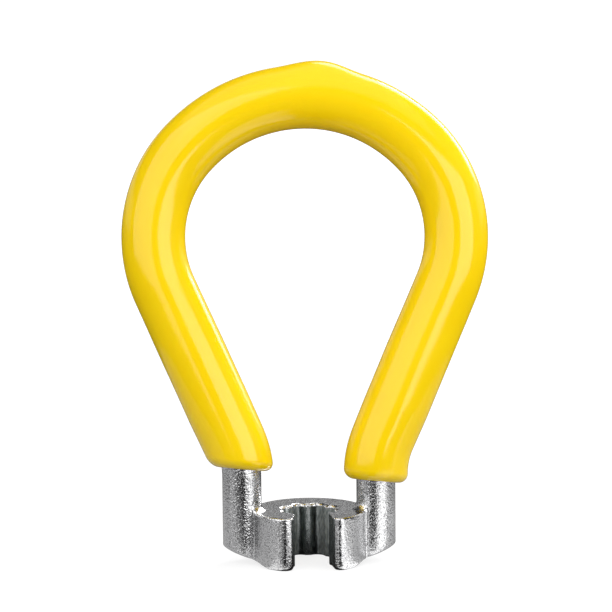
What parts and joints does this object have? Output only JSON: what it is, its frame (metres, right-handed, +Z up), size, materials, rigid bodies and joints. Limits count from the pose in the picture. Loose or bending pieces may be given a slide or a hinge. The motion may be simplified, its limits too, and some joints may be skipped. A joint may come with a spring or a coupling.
{
  "type": "spoke wrench",
  "caption": "Loop-handled spoke wrench: a slotted, splined socket ring brazed between the ends of a bent steel rod, with a glossy dip-coated grip",
  "frame": {"origin": "on the socket's axis, in the plane of the head's flat bottom face, where the nipple enters", "axes": "+Z runs up the socket's axis towards the loop, the slot opens towards -Y, the loop leans back towards +Y, and +X is to the right seen from the slot"},
  "size_m": [0.0368, 0.0143, 0.0496],
  "materials": {
    "plated_steel": "bright plating over a fine blasted grain",
    "yellow_coating": "glossy dip-coated soft plastic"
  },
  "bodies": {
    "root": {"socket_head": "plated_steel", "loop_rod": "plated_steel", "braze_left": "plated_steel", "braze_right": "plated_steel", "dip_grip": "yellow_coating"}
  },
  "joints": []
}
